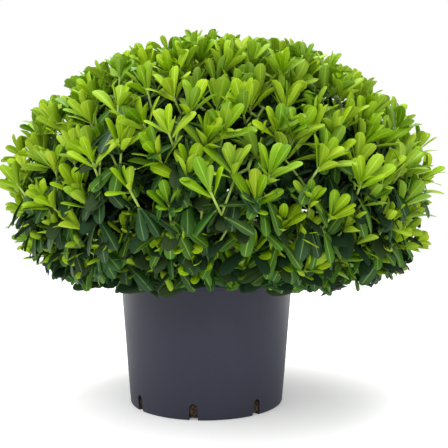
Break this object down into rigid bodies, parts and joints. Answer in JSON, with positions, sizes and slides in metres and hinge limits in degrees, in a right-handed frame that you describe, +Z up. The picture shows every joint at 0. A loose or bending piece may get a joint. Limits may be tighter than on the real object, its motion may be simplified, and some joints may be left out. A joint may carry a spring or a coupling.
{
  "type": "potted pittosporum shrub",
  "caption": "Dense rounded evergreen shrub with whorls of blunt leaves, on a short stem with tiers of boughs, in a tapered round nursery pot with arched slots at its foot.",
  "frame": {"origin": "middle of the pot's flat underside", "axes": "+Z up through the pot, -Y towards the front that the picture shows, +X to the right in it"},
  "size_m": [0.6848, 0.6542, 0.5892],
  "materials": {
    "slate_plastic": "satin",
    "potting_soil": "matte",
    "bark": "matte",
    "young_leaf": "satin",
    "mixed_leaf": "satin",
    "old_leaf": "satin"
  },
  "bodies": {
    "root": {"bough_middle_1": "bark", "bough_middle_2": "bark", "bough_middle_3": "bark", "bough_middle_4": "bark", "bough_middle_5": "bark", "bough_middle_6": "bark", "bough_middle_7": "bark", "bough_middle_8": "bark", "bough_skirt_1": "bark", "bough_skirt_2": "bark", "bough_skirt_3": "bark", "bough_skirt_4": "bark", "bough_skirt_5": "bark", "bough_skirt_6": "bark", "bough_skirt_7": "bark", "bough_skirt_8": "bark", "bough_top": "bark", "bough_upper_1": "bark", "bough_upper_2": "bark", "bough_upper_3": "bark", "bough_upper_4": "bark", "bough_upper_5": "bark", "bough_upper_6": "bark", "foliage_middle_1": "mixed_leaf", "foliage_middle_2": "mixed_leaf", "foliage_middle_3": "mixed_leaf", "foliage_middle_4": "mixed_leaf", "foliage_middle_5": "mixed_leaf", "foliage_middle_6": "mixed_leaf", "foliage_middle_7": "mixed_leaf", "foliage_middle_8": "mixed_leaf", "foliage_skirt_1": "old_leaf", "foliage_skirt_2": "old_leaf", "foliage_skirt_3": "old_leaf", "foliage_skirt_4": "old_leaf", "foliage_skirt_5": "old_leaf", "foliage_skirt_6": "old_leaf", "foliage_skirt_7": "old_leaf", "foliage_skirt_8": "old_leaf", "foliage_top": "young_leaf", "foliage_upper_1": "young_leaf", "foliage_upper_2": "young_leaf", "foliage_upper_3": "young_leaf", "foliage_upper_4": "young_leaf", "foliage_upper_5": "young_leaf", "foliage_upper_6": "young_leaf", "pot": "slate_plastic", "potting_soil": "potting_soil", "stem": "bark"}
  },
  "joints": []
}
